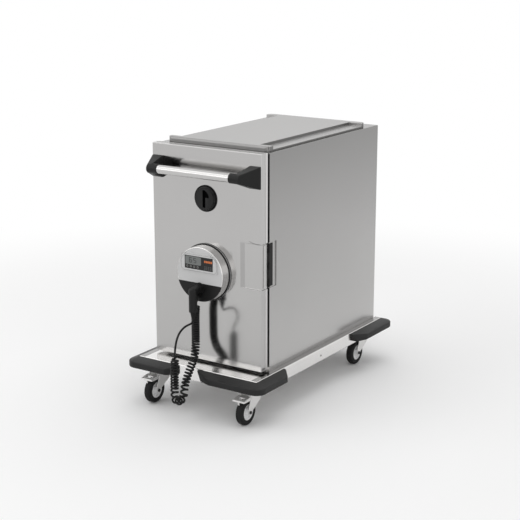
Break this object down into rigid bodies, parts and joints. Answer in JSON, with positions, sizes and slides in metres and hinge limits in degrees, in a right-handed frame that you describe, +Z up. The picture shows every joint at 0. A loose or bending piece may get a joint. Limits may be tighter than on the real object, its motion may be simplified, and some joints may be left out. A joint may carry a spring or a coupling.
{
  "type": "enclosed meal tray cart",
  "caption": "Insulated tray cabinet on a bumpered base with swivel casters, a hinged door with a push handle, a turning latch and a heater module with a curly cord.",
  "frame": {"origin": "on the floor under the middle of the base deck", "axes": "+Z up, the door and its handle face -Y, +X to the right of someone facing the door"},
  "size_m": [0.612, 1.1089, 1.002],
  "materials": {
    "casing_steel": "fine brushed stainless",
    "door_steel": "bright blurred-mirror stainless",
    "liner_steel": "plain stainless",
    "fitting_steel": "dull zinc",
    "tube_steel": "polished tube",
    "drum_steel": "satin",
    "face_steel": "satin pale grey",
    "display": "gloss window",
    "foam": "rigid foam",
    "seal_rubber": "matt",
    "bumper_plastic": "satin grain",
    "black_plastic": "satin",
    "cord_rubber": "satin",
    "caster_steel": "bright zinc",
    "wheel_plastic": "pale grey moulding",
    "tyre_rubber": "matt"
  },
  "bodies": {
    "cabinet": {"deck": "casing_steel", "caster_channels": "fitting_steel", "bumper_front_right": "bumper_plastic", "bumper_rear_right": "bumper_plastic", "bumper_rear_left": "bumper_plastic", "bumper_front_left": "bumper_plastic", "outer_casing": "casing_steel", "back_panel": "casing_steel", "insulation": "foam", "inner_liner": "liner_steel", "front_frame": "casing_steel", "tray_runners_left": "liner_steel", "tray_runners_right": "liner_steel", "top_cap": "casing_steel", "hinge_leaf_body": "fitting_steel", "hinge_pin": "fitting_steel", "latch_keeper": "fitting_steel", "caster_heads": "fitting_steel"},
    "door": {"door_skin": "door_steel", "door_liner": "liner_steel", "door_seal": "seal_rubber", "hinge_leaf_door": "fitting_steel", "handle_bar": "tube_steel", "handle_bracket_left": "black_plastic", "handle_bracket_right": "black_plastic", "latch_bush": "fitting_steel", "module_ring": "seal_rubber", "module_housing": "drum_steel", "module_face": "face_steel", "display_glass": "display", "socket_panel": "black_plastic", "cord_gland": "black_plastic", "fan_motor": "fitting_steel", "heater_ring": "fitting_steel", "fan_cover": "liner_steel", "cord_coil": "cord_rubber", "cord_lead": "cord_rubber", "plug": "black_plastic"},
    "latch_turner": {"latch_knob": "black_plastic", "latch_spindle": "fitting_steel"},
    "bolt": {"latch_bolt": "fitting_steel"},
    "fan": {"fan_wheel": "liner_steel"},
    "caster_front_left": {"fork_front_left": "caster_steel", "axle_front_left": "fitting_steel"},
    "roller_front_left": {"wheel_front_left": "wheel_plastic", "tyre_front_left": "tyre_rubber"},
    "caster_front_right": {"fork_front_right": "caster_steel", "axle_front_right": "fitting_steel"},
    "roller_front_right": {"wheel_front_right": "wheel_plastic", "tyre_front_right": "tyre_rubber"},
    "caster_rear_left": {"fork_rear_left": "caster_steel", "axle_rear_left": "fitting_steel"},
    "roller_rear_left": {"wheel_rear_left": "wheel_plastic", "tyre_rear_left": "tyre_rubber"},
    "caster_rear_right": {"fork_rear_right": "caster_steel", "axle_rear_right": "fitting_steel"},
    "roller_rear_right": {"wheel_rear_right": "wheel_plastic", "tyre_rear_right": "tyre_rubber"},
    "brake_left": {"pedal_left": "caster_steel"},
    "brake_right": {"pedal_right": "caster_steel"}
  },
  "joints": [
    {"name": "door_hinge", "type": "hinge", "parent": "cabinet", "child": "door", "pos_m": [0.24, -0.3495, 0.578], "axis": [0, 0, 1], "range_deg": [0, 170]},
    {"name": "latch_turn", "type": "hinge", "parent": "door", "child": "latch_turner", "pos_m": [0, -0.396, 0.804], "axis": [0, -1, 0], "range_deg": [0, 90]},
    {"name": "bolt_slide", "type": "slide", "parent": "door", "child": "bolt", "axis": [-1, 0, 0], "range_m": [0, 0.0221]},
    {"name": "fan_spin", "type": "hinge", "parent": "door", "child": "fan", "pos_m": [0, -0.33, 0.53], "axis": [0, 1, 0], "continuous": true},
    {"name": "swivel_front_left", "type": "hinge", "parent": "cabinet", "child": "caster_front_left", "pos_m": [-0.209, -0.416, 0.11], "axis": [0, 0, 1], "continuous": true},
    {"name": "roll_front_left", "type": "hinge", "parent": "caster_front_left", "child": "roller_front_left", "pos_m": [-0.209, -0.454, 0.05], "axis": [1, 0, 0], "continuous": true},
    {"name": "swivel_front_right", "type": "hinge", "parent": "cabinet", "child": "caster_front_right", "pos_m": [0.209, -0.416, 0.11], "axis": [0, 0, 1], "continuous": true},
    {"name": "roll_front_right", "type": "hinge", "parent": "caster_front_right", "child": "roller_front_right", "pos_m": [0.209, -0.454, 0.05], "axis": [1, 0, 0], "continuous": true},
    {"name": "swivel_rear_left", "type": "hinge", "parent": "cabinet", "child": "caster_rear_left", "pos_m": [-0.209, 0.387, 0.11], "axis": [0, 0, 1], "continuous": true},
    {"name": "roll_rear_left", "type": "hinge", "parent": "caster_rear_left", "child": "roller_rear_left", "pos_m": [-0.209, 0.349, 0.05], "axis": [1, 0, 0], "continuous": true},
    {"name": "swivel_rear_right", "type": "hinge", "parent": "cabinet", "child": "caster_rear_right", "pos_m": [0.209, 0.387, 0.11], "axis": [0, 0, 1], "continuous": true},
    {"name": "roll_rear_right", "type": "hinge", "parent": "caster_rear_right", "child": "roller_rear_right", "pos_m": [0.209, 0.349, 0.05], "axis": [1, 0, 0], "continuous": true},
    {"name": "brake_press_left", "type": "hinge", "parent": "caster_front_left", "child": "brake_left", "pos_m": [-0.209, -0.452, 0.112], "axis": [1, 0, 0], "range_deg": [0, 5]},
    {"name": "brake_press_right", "type": "hinge", "parent": "caster_front_right", "child": "brake_right", "pos_m": [0.209, -0.452, 0.112], "axis": [1, 0, 0], "range_deg": [0, 5]}
  ],
  "couplings": [
    {"joint": "bolt_slide", "follows": "latch_turn", "m_per_rad": 0.014006}
  ]
}
